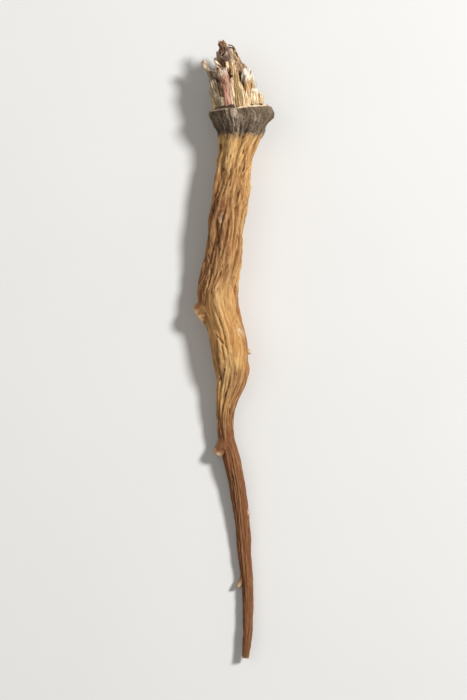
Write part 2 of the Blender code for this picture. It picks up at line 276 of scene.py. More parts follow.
# Papery sheaths and scales: bearing, seat, length, width, lean, curl, bend outwards and sideways,
# finish and how many strips its end is torn into (one makes a rounded lobe)
SCALES = (
    (90, 2.1, 7.4, 1.2, 1, 0.1, -4, 4, "straw", 3),
    (77, 2.1, 5, 0.9, 4, 0.1, -10, -18, "cream", 2),
    (63, 2, 4, 1.1, 5, 0.1, -12, -14, "cream", 2),
    (53, 2.1, 2.4, 0.8, 4, 0.1, -12, -24, "cream", 2),
    (69, 2, 3, 0.6, 6, 0.2, -12, -20, "white", 2),
    (66, 2.8, 5.2, 0.6, 8, 0.2, -12, 16, "hollow", 1),
    (43, 2.8, 4.6, 0.5, 9, 0.2, -12, 6, "white", 1),
    (104, 2.1, 6, 1.5, 3, 0.1, -6, 0, "rose", 2),
    (46, 2.2, 2.8, 2, 9, 0.3, -18, -2, "white", 1),
    (17, 2.2, 2, 1.7, 12, 0.3, -24, -4, "white", 1),
    (32, 2.3, 2, 0.8, 4, 0.2, -20, -20, "straw", 1),
    (130, 2, 5.8, 1.5, 2, 0.2, 0, 0, "umber", 3),
    (147, 1.8, 6.2, 2, 3, 0.2, 2, -4, "moss", 4),
    (164, 1.8, 5.8, 1.8, 5, 0.1, -2, 0, "ash", 3),
    (180, 2, 5.2, 2.2, 9, 0.1, -10, 0, "moss", 4),
    (156, 1.6, 2.6, 1.2, 4, 0.2, 0, 10, "straw", 2),
    (128, 1.7, 2.4, 0.9, 6, 0.2, 10, 10, "moss", 2),
    (146, 7.8, 3.6, 0.6, 5, 0.3, 10, 10, "ash", 1),
    (138, 7.9, 3.4, 0.9, 7, 0.3, 14, -18, "white", 1),
    (128, 7, 4, 1.2, 8, 0.3, 30, -40, "ash", 3),
    (84, 7.6, 3.4, 1, 4, 0.3, 20, 16, "cream", 2),
    (101, 8.3, 2.4, 0.7, 9, 0.3, 16, 8, "white", 1),
    (78, 9.6, 3.4, 1, 7, 0.3, 10, 8, "ash", 1),
    (72, 8.6, 4, 1.2, 2, 0.3, -20, 16, "umber", 3),
    (58, 10.4, 3, 0.8, 4, 0.4, 50, 20, "ash", 2),
    (66, 10, 2.4, 0.6, 4, 0.4, 30, 40, "umber", 2),
    (104, 10, 4.9, 1.7, 0, 0.2, 40, 0, "chestnut", 1),
    (92, 9.6, 4.2, 0.9, 4, 0.2, 30, 14, "mauve", 1),
    (122, 9.4, 5, 1.3, 0, 0.2, -20, 10, "chestnut", 3),
)
SCALE_SINK = 0.8
SCALE_JAG = 2.2
LOBE_PLUMPNESS = 0.6
STRAP_PLUMPNESS = 0.3
SCALE_THICKNESS = 0.1
SCALE_GRID = (22, 16)
SHRED_GRID = (3, 9)
BEND_STEPS = 60
GOLDEN_ANGLE = 137.5

# Ranges that the other scales and the shreds are drawn from. Both also lean and bend inwards.
Scraps = namedtuple("Scraps", "lean inward_lean length width bend inward_bend curl sway strips")
SCALE_COUNT = 30
OTHER_SCALES = Scraps((-2, 8), 12, (1.6, 3.6), (0.7, 1.9), (-40, 40), 45, (0.1, 0.4), (-40, 40), 8)
SHRED_COUNT = 120
SHREDS = Scraps((-8, 10), 10, (1.0, 3.0), (0.25, 0.7), (-80, 60), 60, (0, 0.5), (-90, 90), 2)

# The thin lip along the collar's upper edge: bearings where each stretch starts and ends, its
# breadth and its finish
LIPS = (
    (104, 20, 0.36, "white"),
    (14, -42, 0.4, "straw"),
    (112, 168, 0.26, "moss"),
    (176, 236, 0.34, "ash"),
    (244, 306, 0.36, "straw"),
)
LIP_GRID = (90, 6)
LIP_RAGGED = 0.8
LIP_CURL = 0.26

FIBRE_SIDES = 5
FIBRE_CUTS = 10
FIBRE_BENDS = 6
CROWN_FIBRES = 130
SPLINTERS = 12
CRUMBS = 150
CRUMB_FACES = (7, 5)
CRUMB_SIZES = (0.04, 0.11)

# Colours of the crown's finishes: one dark foot, painted shade where the scraps meet the crown, then
# each one's middle and torn tip
SHADED_FOOT_TINT = (0.085, 0.052, 0.03)
TINTS = {
    "pink": ((0.56, 0.3, 0.215), (0.88, 0.72, 0.58)),
    "rose": ((0.88, 0.66, 0.44), (0.7, 0.48, 0.36)),
    "amber": ((0.27, 0.135, 0.05), (0.48, 0.29, 0.13)),
    "cream": ((0.84, 0.63, 0.37), (0.88, 0.7, 0.46)),
    "hollow": ((0.6, 0.325, 0.12), (0.98, 0.9, 0.77)),
    "mauve": ((0.22, 0.138, 0.105), (0.42, 0.3, 0.235)),
    "white": ((0.88, 0.68, 0.43), (0.95, 0.81, 0.61)),
    "moss": ((0.43, 0.35, 0.235), (0.6, 0.48, 0.34)),
    "umber": ((0.32, 0.2, 0.112), (0.52, 0.35, 0.21)),
    "ash": ((0.46, 0.35, 0.225), (0.74, 0.57, 0.42)),
    "straw": ((0.55, 0.38, 0.18), (0.68, 0.49, 0.27)),
    "chestnut": ((0.2, 0.102, 0.05), (0.35, 0.205, 0.115)),
}
PALE_FEET = ("cream", "white", "hollow", "rose", "straw", "pink", "moss")
PALE_TIP = 0.72  # where the tip's colour starts, as a share of the length
PALE_TIPS = {"hollow": 0.6, "pink": 0.75}
DARK_SCRAPS = ("umber", "ash", "moss", "chestnut", "umber", "straw", "chestnut", "pink")
PALE_SCRAPS = ("cream", "straw", "white", "straw", "umber")
FIBRE_TINTS = ("cream", "ash", "umber", "straw", "chestnut", "umber")

# Bark, collar and broken wood, as linear colours
TAN_DARK = (0.27, 0.118, 0.034, 1)
TAN = (0.47, 0.232, 0.072, 1)
GOLD = (0.655, 0.362, 0.125, 1)
GOLD_PALE = (0.81, 0.52, 0.215, 1)
AMBER = (0.53, 0.25, 0.072, 1)
# Also painted shade, on the tail and along the lower right edge
RUST_AND_SHADE = (0.225, 0.082, 0.032, 1)
OLIVE = (0.46, 0.32, 0.105, 1)
# Painted shade in the bark's creases, pits and cracks
GROOVE_SHADE = (0.125, 0.048, 0.015, 1)
# Also painted shade in the collar's creases
COLLAR_DARK = (0.096, 0.067, 0.045, 1)
COLLAR_MID = (0.176, 0.123, 0.082, 1)
COLLAR_PALE = (0.305, 0.228, 0.16, 1)
SCRAPED = (0.52, 0.42, 0.31, 1)
WOOD = (0.85, 0.69, 0.47, 1)
WOOD_RING = (0.55, 0.36, 0.17, 1)
CORE_DARK = (0.055, 0.034, 0.02, 1)
VEIN_SHADES = ((0.36, 0.29, 0.23, 1), (0.8, 0.76, 0.72, 1), (1.1, 1.08, 1.05, 1))

# The studio: its floor, its camera, and its lamps with direction, distance, size and power
FLOOR_SIZE = 6.0
FLOOR = (0.69, 0.685, 0.67, 1)
FLOOR_SHADE = (*(0.985 * part for part in FLOOR[:3]), 1)
CAMERA_LENS = 180.0
CAMERA_SENSOR = 36.0
FRAME_HEIGHT = 0.1355
KEY_LIGHT = ((0.64, 0.36, 0.78), 0.8, 0.16, 7.5)
FILL_LIGHT = ((-0.55, 0.2, 0.85), 0.9, 0.7, 1.3)
SKY = (1.0, 0.96, 0.9, 1.0)
SKY_STRENGTH = 0.28


def section(along):
    """Across, up, half width and half height, on a smooth curve through SECTIONS."""
    i = np.clip(np.searchsorted(SECTION_PLACES, along) - 1, 0, len(SECTION_PLACES) - 2)
    gap = (SECTION_PLACES[i + 1] - SECTION_PLACES[i])[..., None]
    t = (np.asarray(along) - SECTION_PLACES[i])[..., None] / gap
    near = (1 + 2 * t) * SECTION_VALUES[i] + t * gap * SECTION_SLOPES[i]
    far = (3 - 2 * t) * SECTION_VALUES[i + 1] - (1 - t) * gap * SECTION_SLOPES[i + 1]
    return (1 - t) ** 2 * near + t**2 * far


def smooth(value):
    """0 to 1 with soft ends."""
    value = np.clip(value, 0, 1)
    return value * value * (3 - 2 * value)


def stacked(*parts):
    """Three arrays, or single numbers among them, as one array of places."""
    return np.stack(np.broadcast_arrays(*parts), axis=-1)


def read_noise(places):
    """Noise at each of an array of places."""
    flat = places.reshape(-1, 3).tolist()
    return np.array([noise.noise(place) for place in flat]).reshape(places.shape[:-1])


def noise_at(*parts):
    return read_noise(stacked(*parts))


def spots_of(piece):
    """The piece's points as an array."""
    spots = np.empty(len(piece.data.vertices) * 3)
    piece.data.vertices.foreach_get("co", spots)
    return spots.reshape(-1, 3)


def inside_box(points):
    """Points kept within the solid's box, softly at its sides, as measured from the collar."""
    low, high = (np.array(corner) / MM - (COLLAR_ACROSS, COLLAR_ALONG, 0) for corner in cad_box)
    points = np.clip(points, low - (SIDE_REACH, 0, 0), high + (SIDE_REACH, TIP_ALLOWANCE, 0))
    across = points[..., 0]
    over = np.maximum(across - high[0] + SIDE_SOFTNESS, 0) / SIDE_SOFTNESS
    under = np.maximum(low[0] + SIDE_SOFTNESS - across, 0) / SIDE_SOFTNESS
    points[..., 0] += SIDE_SOFTNESS * ((1 - np.exp(-over) - over) - (1 - np.exp(-under) - under))
    return points


def move_spots(piece, spots):
    """Puts the piece's points at places measured from the collar."""
    spots = (inside_box(spots) + (COLLAR_ACROSS, COLLAR_ALONG, 0)) * MM
    piece.data.vertices.foreach_set("co", spots.ravel())
    piece.data.update()


def paint(piece, name, values):
    """Stores a value, a place or a colour on each point for the finish to read."""
    kinds = {1: ("FLOAT", "value"), 3: ("FLOAT_VECTOR", "vector"), 4: ("FLOAT_COLOR", "color")}
    kind, field = kinds[values[0].size]
    layer = piece.data.attributes.new(name, kind, "POINT")
    layer.data.foreach_set(field, values.ravel())


def coloured(piece, tint, grain):
    """The piece with its tint, and the places that its finish follows."""
    paint(piece, "tint", np.broadcast_to(tint, (len(grain), 4)))
    paint(piece, "grain", grain * MM)
    return piece


def switch(mode):
    bpy.ops.object.mode_set(mode=mode)


def copy_of(blank, name):
    """A copy of a blank with its own mesh."""
    piece = bpy.data.objects.new(name, blank.data.copy())
    bpy.context.scene.collection.objects.link(piece)
    return piece


def joined(name, pieces, *blanks):
    """All the pieces as one object with smooth faces that point outwards, without their blanks."""
    for blank in blanks:
        bpy.data.objects.remove(blank)
    bpy.ops.object.select_all(action="DESELECT")
    for piece in pieces:
        piece.select_set(True)
    bpy.context.view_layer.objects.active = pieces[0]
    bpy.ops.object.join()
    whole = bpy.context.object
    whole.name = name
    whole.data.name = name
    switch("EDIT")
    bpy.ops.mesh.select_all(action="SELECT")
    bpy.ops.mesh.normals_make_consistent(inside=False)
    switch("OBJECT")
    bpy.ops.object.shade_smooth()
    return whole


def added(operator, **settings):
    """A new primitive with its place applied, added with everything else deselected."""
    bpy.ops.object.select_all(action="DESELECT")
    operator(**settings)
    bpy.ops.object.transform_apply(location=True, rotation=True, scale=True)
    return bpy.context.object


def cut_rings(piece, cuts):
    """Cuts the cylinder just added into rings, by subdividing the edges that run along it."""
    spots = spots_of(piece)
    ends = np.array([edge.vertices[:] for edge in piece.data.edges])
    steps = np.abs(spots[ends[:, 0]] - spots[ends[:, 1]])
    bpy.context.tool_settings.mesh_select_mode = (False, True, False)
    switch("EDIT")
    bpy.ops.mesh.select_all(action="DESELECT")
    switch("OBJECT")
    piece.data.edges.foreach_set("select", steps[:, 2] > steps[:, :2].max(axis=1))
    switch("EDIT")
    bpy.ops.mesh.subdivide(number_cuts=cuts)
    switch("OBJECT")


def ringed_cylinder(sides, *cuts):
    """An upright cylinder of radius 1 and height 1 on z 0, cut into rings once for each count."""
    add = bpy.ops.mesh.primitive_cylinder_add
    piece = added(add, vertices=sides, radius=1, depth=1, location=(0, 0, 0.5))
    for count in cuts:
        cut_rings(piece, count)
    return piece


def strip_blank(across, up):
    """A flat grid a unit wide and high, standing on y 0."""
    add = bpy.ops.mesh.primitive_grid_add
    return added(add, x_subdivisions=across, y_subdivisions=up, size=1, location=(0, 0.5, 0))


class Skin:
    """A stretch of bark worked out as a grid of rings by sides."""

    def __init__(self, along, sides):
        self.along = along[:, None]
        self.bearing = (np.arange(sides) * 2 * math.pi / sides)[None, :]
        below = np.clip((self.along - COLLAR_END) / COLLAR_FADE, 0, 1)
        above = np.clip((COLLAR_TOP - self.along) / COLLAR_FADE + 0.5, 0, 1)
        self.collar = below * above
        self.plates = smooth(1 - abs(self.along - CALM_ALONG) / CALM_REACH)
        self.calm = 1 - CALM_SHARE * self.plates
        wander = WANDER.height * self.collar * self.read(WANDER, twist=0)
        self.middle = section(self.along + 0 * self.bearing)[..., :2]
        self.girth = section(self.along + wander)[..., 2:]
        self.half_width = self.girth[..., 0]

    def places(self, relief, sway=0.0, twist=FOLD_TWIST):
        """Where to read the noise of a relief."""
        turn = self.bearing + twist * self.along + sway
        z = self.along / relief.length + relief.start
        return stacked(relief.count * np.cos(turn), relief.count * np.sin(turn), z)

    def read(self, relief, sway=0.0, twist=FOLD_TWIST):
        return read_noise(self.places(relief, sway, twist))

    def rise(self, relief, sway=0.0):
        return relief.height * self.read(relief, sway)

    def ridges(self, relief, steepness, sway=0.0):
        """Rounded ridges with sharp valleys between them, from 0 to 1."""
        return np.minimum(1, steepness * abs(self.read(relief, sway)))

    def creases(self, relief, width, sway):
        """Thin lines, from 0 to 1."""
        return smooth(1 - abs(self.read(relief, sway)) / width)

    def main_size(self, lump_share=1.0):
        """The solid's own relief, as a share of the root's radius: swellings, folds and lumps."""
        swelling_height = SWELLINGS.height * (1 + (SWELLINGS_ON_COLLAR - 1) * self.collar)
        size = 1 + swelling_height * self.read(SWELLINGS)
        fold_depth = FOLD_SOFTENING * FOLDS.height * (1 + (FOLDS_ON_COLLAR - 1) * self.collar)
        size += fold_depth * (0.3 + 0.7 * self.calm) * (self.ridges(FOLDS, FOLD_STEEPNESS) - 0.5)
        lumps = LUMPS.height * self.collar * self.read(LUMPS)
        return size + lump_share * lumps / self.half_width

    def points(self, size):
        """The grid's points for sizes given as shares of the root's radius."""
        x = self.middle[..., 0] + self.half_width * size * np.cos(self.bearing)
        z = self.middle[..., 1] + self.girth[..., 1] * size * np.sin(self.bearing)
        return stacked(x, self.along, z)

    def wrinkles(self):
        """Small wrinkles, fibres and pits of the bark, and where its pits, cracks and net are darkened
        as painted shade.
        """
        thin = np.clip(self.half_width / GRAIN_RADIUS, 0.45, 1.2)
        sway = self.rise(SWAY)
        height = WRINKLES.height * (self.ridges(WRINKLES, 3, sway) - 0.62)
        height = height + self.rise(FIBRES, sway) + self.rise(LENSES, sway)
        rings = self.read(RINGS) * smooth(self.rise(RINGS_SHOWN))
        pits = smooth((self.read(PITS) - PIT_FROM) / 0.2)
        crack = self.creases(CRACKS, CRACK_WIDTH, 1.4 * sway) * smooth(self.rise(CRACKS_SHOWN) - 0.2)
        height += RINGS.height * rings - PITS.height * pits - CRACKS.height * crack
        net = self.creases(NET, NET_WIDTH, 3 * sway)
        net *= smooth(self.rise(NET_SHOWN) + 0.3) * np.sqrt(self.plates)
        # Painted shade in the pits, cracks and net
        dark = np.maximum(np.maximum(pits, 0.7 * crack) * self.calm, 0.45 * net)
        return height * thin * self.calm - NET.height * net, dark

    def flakes(self):
        """The collar's flakes, streaks, cross cracks, grit and dust."""
        flat = self.places(FLAKES).reshape(-1, 3).tolist()
        steps = np.array([noise.noise(noise.voronoi(place)[1][0] * 3.7) for place in flat])
        height = FLAKES.height * steps.reshape(self.half_width.shape)
        height = height + STREAKS.height * (self.ridges(STREAKS, 3) - 0.6)
        height = height + CROSS_CRACKS.height * (self.ridges(CROSS_CRACKS, 4) - 0.7)
        return height + self.rise(GRIT) + self.rise(DUST)

    def away(self, along, degrees, half_length, half_across, turn=0):
        """How far each point lies from a patch's middle: 1 at the patch's edge."""
        lengthways = self.along - along
        sideways = np.angle(np.exp(1j * (self.bearing - math.radians(degrees)))) * self.half_width
        turn = math.radians(turn)
        u = (lengthways * math.cos(turn) + sideways * math.sin(turn)) / half_length
        v = (sideways * math.cos(turn) - lengthways * math.sin(turn)) / half_across
        return np.hypot(u, v)

    def scars(self):
        """Healed scars and creases, each a shallow hollow with a raised rim, and their pale wood."""
        height = np.zeros_like(self.half_width)
        pale = np.zeros_like(self.half_width)
        for *patch, turn, rim, depth in SCARS:
            away = self.away(*patch, turn)
            height += rim * np.exp(-((away - 1.15) ** 2) / 0.09) - depth * smooth(1.25 - away)
            if patch[-1] > SCAR_WIDTH:
                pale = np.maximum(pale, smooth(1.5 - away))
        return height, pale

    def patches(self, rows):
        """Soft-edged long patches at the places listed, from 0 to their strength."""
        share = np.zeros_like(self.half_width)
        for *patch, strength in rows:
            share = np.maximum(share, strength * smooth(1.7 - self.away(*patch)))
        return share

    def grain(self):
        """Places on a straightened root of even girth, for a pattern that follows the real one."""
        turn = self.bearing + FOLD_TWIST * self.along
        return stacked(GRAIN_RADIUS * np.cos(turn), self.along, GRAIN_RADIUS * np.sin(turn)) * MM

    def lay_on(self, piece, spots, name, points, marks):
        """The named piece in the skin's shape, given the ring and the side of each of its points."""
        points[..., 2] = np.maximum(points[..., 2], 0)
        move_spots(piece, points[spots])
        for mark, values in marks.items():
            paint(piece, mark, np.broadcast_to(values, points.shape[:-1])[spots])
        paint(piece, "grain", self.grain()[spots])
        return joined(name, [piece])


def levelled(height, reach):
    """The height averaged over its neighbours up to that many steps away."""
    level = height.copy()
    for shift in range(1, reach + 1):
        for axis in (0, 1):
            level += np.roll(height, shift, axis) + np.roll(height, -shift, axis)
    return level / (1 + 4 * reach)


def creases_and_ridges(height):
    """How deep each point lies in a hollow of the relief, for painted shade, and how far it stands out,
    for wear and painted highlight, from 0 to 1.
    """
    broad = height - levelled(height, 7)
    narrow = height - levelled(height, 2)
    crease_shade = 0.6 * np.clip(-broad / 0.3, 0, 1) + 0.5 * np.clip(-narrow / 0.08, 0, 1)
    ridge = 0.6 * np.clip(broad / 0.24, 0, 1) + 0.5 * np.clip(narrow / 0.06, 0, 1)
    return np.clip(crease_shade, 0, 1), np.clip(ridge, 0, 1)


def pulled_into_stumps(points):
    """Draws the skin out along each stump's own line, to a ragged flat end."""
    cut = np.zeros(points.shape[:-1])
    for along, degrees, length, foot_radius, end_radius, slant in STUMPS:
        across, up, _, _ = section(along)
        bearing = math.radians(degrees)
        tilt = math.radians(slant)
        outwards = np.array((math.cos(bearing), 0, math.sin(bearing)))
        line = math.cos(tilt) * outwards - math.sin(tilt) * np.array((0, 1, 0))
        offset = points - (across, along, up)
        reach = offset @ line
        aside = np.linalg.norm(offset - reach[..., None] * line, axis=-1)
        near = (aside < foot_radius + STUMP_FLARE) & (reach > 0)
        ragged = np.zeros_like(reach)
        ragged[near] = STUMP_RAGGED * read_noise(points[near] * 1.7)
        slope = (foot_radius - aside) / (foot_radius - end_radius)
        cone = length * np.clip(slope, -1, 1) + ragged * np.clip(slope, 0, 1)
        share = np.clip(0.5 + 0.5 * (cone - reach) / STUMP_FLARE, 0, 1)
        rise = share * (cone - reach) + STUMP_FLARE * share * (1 - share)
        rise *= smooth(reach / 0.8) * near
        points = points + line * rise[..., None]
        face = smooth((end_radius - aside + CUT_EDGE) / 0.18 + 0.5) * smooth(rise / 0.3) * near
        cut = np.maximum(cut, face)
    return points, cut


def ring_places():
    """Where the skin's rings lie along the root, from the crown to the tail."""
    stops, gaps = zip(*SKIN_SPACING)
    fine = np.linspace(stops[0], stops[-1], 4001)
    density = 1 / np.interp(fine[::-1], stops[::-1], gaps[::-1])[::-1]
    travelled = np.concatenate([[0], np.cumsum(density[1:])])
    return np.interp(np.linspace(0, travelled[-1], (SKIN_CUTS + 1) ** 2 + 1), travelled, fine)


def grid_cylinder(sides, cuts):
    """A cylinder cut into rings twice over, with the ring and the side of each of its points."""
    piece = ringed_cylinder(sides, cuts, cuts)
    x, y, z = spots_of(piece).T
    ring = np.rint((1 - z) * (cuts + 1) ** 2).astype(int)
    side = np.rint(np.arctan2(y, x) / (2 * math.pi) * sides).astype(int)
    return piece, (ring, side % sides)


def bark_skin():
    """The whole taproot's bark with the crown's core, as one closed skin."""
    piece, spots = grid_cylinder(SKIN_SIDES, SKIN_CUTS)
    skin = Skin(ring_places(), SKIN_SIDES)
    fine, dark = skin.wrinkles()
    scars, pale_wood = skin.scars()
    above_edge = skin.along - COLLAR_END + COLLAR_DROP
    covered = smooth(above_edge) * smooth(COLLAR_TOP + 1.4 - skin.along)
    fine = (1 - 0.8 * covered) * fine - UNDER_COLLAR * covered
    size = skin.main_size() + (fine + scars) / skin.half_width
    crease_shade, ridge = creases_and_ridges(skin.half_width * size)
    points, cut = pulled_into_stumps(skin.points(size))
    tail = smooth((TAIL_DARKENING_FROM - skin.along) / (TAIL_DARKENING_FROM - TAIL_DARKENING_FULL))
    # Marks for the finish: painted shade in creases, pits and cracks, painted highlight with wear on
    # ridges, and rust with painted shade towards the tail
    marks = {
        "crease_shade": crease_shade * (1 - cut) * skin.calm,
        "ridge": ridge * (1 - cut),
        "crack": dark,
        "scar": pale_wood,
        "plates": skin.plates,
        "pale": skin.patches(PALE_BARK_AND_HIGHLIGHT),
        "rust_and_shade": np.maximum(skin.patches(RUSTY_AND_SHADED_PATCHES), TAIL_RUST_AND_SHADE * tail),
        "cut": cut,
        "soil": smooth((above_edge + 1.8) / 3.0),
        "crown": smooth((skin.along - COLLAR_TOP + 0.9) / 0.8),
    }
    return skin.lay_on(piece, spots, "bark_skin", points, marks)


def collar_skin():
    """The collar's dark flaking bark, the line of its rim and places where crumbs may lie."""
    piece, spots = grid_cylinder(COLLAR_SIDES, COLLAR_CUTS)
    along = np.linspace(*COLLAR_SPAN, (COLLAR_CUTS + 1) ** 2 + 1)
    skin = Skin(along, COLLAR_SIDES)
    tongues = skin.rise(TONGUES) + skin.rise(FRINGE)
    below = smooth((skin.along + tongues - COLLAR_END + COLLAR_DROP + 0.5) / 1.5)
    rim_along = COLLAR_RIM + COLLAR_RIM_TILT * np.cos(skin.bearing)
    shown = below * smooth((rim_along - skin.along) / 0.4 + 0.5)
    proud = (COLLAR_PROUD + skin.flakes()) * shown - COLLAR_TUCK * (1 - shown)
    bare_size = skin.main_size(LUMP_SHARE)
    size = bare_size + proud / skin.half_width
    crease_shade, ridge = creases_and_ridges(skin.half_width * size)
    points = skin.points(size)
    # Painted shade in the creases, painted highlight with dust on the ridges, and pale streaks
    marks = {"crease_shade": crease_shade, "ridge": ridge, "pale": skin.patches(PALE_STREAKS)}
    whole = skin.lay_on(piece, spots, "collar_bark", points, marks)
    inner = abs(along[:, None] - (rim_along + 0.1)).argmin(axis=0)
    rim = skin.points(bare_size)[inner, np.arange(COLLAR_SIDES)]
    rim[:, 1] = rim_along[0]
    return whole, rim, points[shown > 0.6]


def seat_on_crown(degrees, seat, lean):
    """Foot, line, sideways and outwards directions of something that grows from the crown."""
    bearing = math.radians(degrees)
    facing = Vector((math.cos(bearing), 0, math.sin(bearing)))
    across, up, half_width, half_height = section(seat)
    above = section(seat + 1)
    line = Vector((above[0] - across, 1, above[1] - up)).normalized()
    line = (line + math.tan(math.radians(lean)) * facing).normalized()
    sideways = line.cross(facing).normalized()
    outwards = sideways.cross(line)
    foot = Vector((across, seat, up))
    foot.x += STALK_SEAT * half_width * math.cos(bearing)
    foot.z += STALK_SEAT * half_height * math.sin(bearing)
    return [np.array(item) for item in (foot, line, sideways, outwards)]


def grown(piece, seating, length, bend, sway, side, reach, out, seed, tint):
    """The piece as a strap whose end bends outwards and sideways, more and more towards its tip."""
    foot, line, sideways, outwards = seat_on_crown(*seating)
    steps = np.linspace(-STALK_SINK, length * 1.5, BEND_STEPS)
    turn = math.radians(bend) * smooth((steps / length - 0.25) / 1.1) * 1.6
    swing = math.radians(sway) * smooth((steps / length - 0.2) / 1.1) * 1.4
    gap = steps[1] - steps[0]
    moves = np.stack([np.cos(turn) * np.cos(swing), np.sin(turn), np.cos(turn) * np.sin(swing)])
    middle = np.cumsum(moves, axis=1) * gap
    start = [np.interp(0, steps, part) for part in middle]
    ahead, rise, drift = (np.interp(reach, steps, m) - s for m, s in zip(middle, start))
    lift = np.interp(reach, steps, turn)
    slew = np.interp(reach, steps, swing)
    ahead = ahead - out * np.sin(lift) - side * np.sin(slew)
    rise = rise + out * np.cos(lift)
    drift = drift + side * np.cos(slew)
    spots = foot + np.outer(ahead, line) + np.outer(rise, outwards) + np.outer(drift, sideways)
    move_spots(piece, spots)
    return coloured(piece, tint, stacked(side, reach, out + seed))


def blend_tint(finish, share, seed, sides, shade=1.0):
    """The tint along a scrap, from its dark foot, painted shade where it meets the crown, to its torn
    tip, a little uneven.
    """
    body, tip = (np.array(colour) for colour in TINTS[finish])
    uneven = 1 + 0.3 * noise_at(sides * 1.5, share * 4, seed)
    to_body = smooth((share + (0.2 if finish in PALE_FEET else -0.02)) / 0.3)[:, None]
    to_tip = smooth((share - PALE_TIPS.get(finish, PALE_TIP)) / 0.24)[:, None]
    colour = np.array(SHADED_FOOT_TINT) + (body - SHADED_FOOT_TINT) * to_body
    colour = colour + (tip - colour) * to_tip
    colour = colour * (uneven * shade)[:, None]
    return np.concatenate([colour, np.ones((len(share), 1))], axis=1)


def torn_ends(side, strips, seed):
    """How far each place across an end falls short where it is torn into strips of their own."""
    draw = np.random.default_rng(int(seed * 1000) % 100003)
    edges = np.concatenate([[-1.2], np.sort(draw.uniform(-1, 1, strips - 1)), [1.2]])
    strip = np.clip(np.searchsorted(edges, side) - 1, 0, strips - 1)
    place = 2 * (side - edges[strip]) / (edges[strip + 1] - edges[strip]) - 1
    short = draw.uniform(0, 0.8, strips)[strip]
    slant = draw.uniform(-0.22, 0.22, strips)[strip] * place
    return np.maximum(0, short + slant + 0.35 * abs(place) ** 3)


def stalk_blank():
    """A ringed cylinder whose upper end is a hollow with a wall round it."""
    piece = ringed_cylinder(STALK_SIDES, STALK_CUTS)
    bpy.context.tool_settings.mesh_select_mode = (False, False, True)
    for polygon in piece.data.polygons:
        polygon.select = polygon.center.z > 0.999
    switch("EDIT")
    bpy.ops.mesh.inset(thickness=STALK_WALL)
    for _ in range(3):
        bpy.ops.mesh.extrude_region_move(TRANSFORM_OT_translate={"value": (0, 0, -STALK_HOLLOW / 3)})
    switch("OBJECT")
    return piece


def leaf_stub(blank, row):
    """What is left of one leaf stalk: a veined strap or tube, torn off."""
    degrees, seat, length, width, lean, curl, thickness, bend, sway, finish = row
    tear = STALK_TEAR * noise.noise(Vector((degrees / TEAR_VARIETY, seat, 0)))
    piece = copy_of(blank, "leaf_stub")
    side, thick, share = spots_of(piece).T
    seed = degrees * 0.37 + seat
    at_foot, at_tip = STALK_FLARES.get(finish, STALK_FLARE)
    half = 0.5 * width * (at_foot + (at_tip - at_foot) * share)
    half *= 1 + STALK_CRUMPLE * noise_at(seed, share * 3, np.sign(side))
    tube = finish in TUBES
    jag = TUBE_JAG if tube else STALK_JAG
    jag = jag * torn_ends(side + 0.15 * np.sign(thick), STALK_STRIPS, seed)
    tear = tear * side * (0.3 if tube else 1)
    reach = share * (length + STALK_SINK) - STALK_SINK + (tear - jag) * share**3
    veins = noise_at(side * width * 2.6, reach * 0.25, seed)
    veins += 0.4 * np.cos(side * STALK_VEINS + seed)
    crumple = STALK_CRUMPLE * noise_at(side * 1.6, reach * 0.9, seed + 4)
    wall = 0.5 * thickness * thick * (1 - 0.45 * side**2)
    clasp = STALK_CLASP * side**2 * (1 - 0.8 * share if tube else 1)
    out = wall + STALK_VEIN_HEIGHT * veins - clasp + curl * share**2 + crumple
    tint = blend_tint(finish, share, seed, side, np.clip(1 + 0.5 * veins, 0.55, 1.2))
    # The inside of a hollow takes the tip's colour, darkened by a quarter as painted shade
    inside = (np.hypot(side, thick) < 1 - 0.5 * STALK_WALL) & (share < 0.999)
    tint[inside, :3] = np.array(TINTS[finish][1]) * 0.75
    seating = (degrees, seat, lean)
    return grown(piece, seating, length, bend, sway, half * side, reach, out, seed, tint)


def leaf_stubs():
    blank = stalk_blank()
    return joined("leaf_stubs", [leaf_stub(blank, row) for row in STALKS], blank)


def papery_scale(blank, row, seed):
    """A thin dry scale with veins, torn into strips or ending in a plump rounded lobe."""
    degrees, seat, length, width, lean, curl, bend, sway, finish, strips = row
    piece = copy_of(blank, "papery_scale")
    side, share, _ = (spots_of(piece) * (2, 1, 1)).T
    half = 0.5 * width * (1.1 - 0.2 * share)
    half *= 1 + 0.4 * noise_at(seed, share * 3, np.sign(side))
    jag = SCALE_JAG * torn_ends(side, strips, seed) * min(1, length / 5)
    plump = STRAP_PLUMPNESS * (1 - share)
    if strips == 1:
        jag = 0.5 * width * (1 - np.sqrt(1 - 0.98 * side**2))
        plump = LOBE_PLUMPNESS * np.sin(math.pi * share)
    reach = share * (length + SCALE_SINK) - SCALE_SINK - jag * share**2
    veins = noise_at(side * width * 2.4, reach * 0.22, seed)
    buckle = 0.3 * noise_at(side * 0.7 * width, reach * 0.6, seed + 5)
    clasp = 0.14 * width * (1 - 0.5 * share)
    out = buckle + 0.16 * veins + curl * share**2 - clasp * side**2 + 0.35
    if strips < 4:
        out += plump * min(1, width) * (1 - side**2)
    tint = blend_tint(finish, share, seed, side, np.clip(1 + 0.7 * veins, 0.5, 1.25))
    seating = (degrees, seat, lean)
    return grown(piece, seating, length, bend, sway, half * side, reach, out, seed, tint)


def inward(degrees):
    """How far the crown is drawn in at a bearing: most on the right, some on the left."""
    across = math.cos(math.radians(degrees))
    return max(across, -0.6 * across)


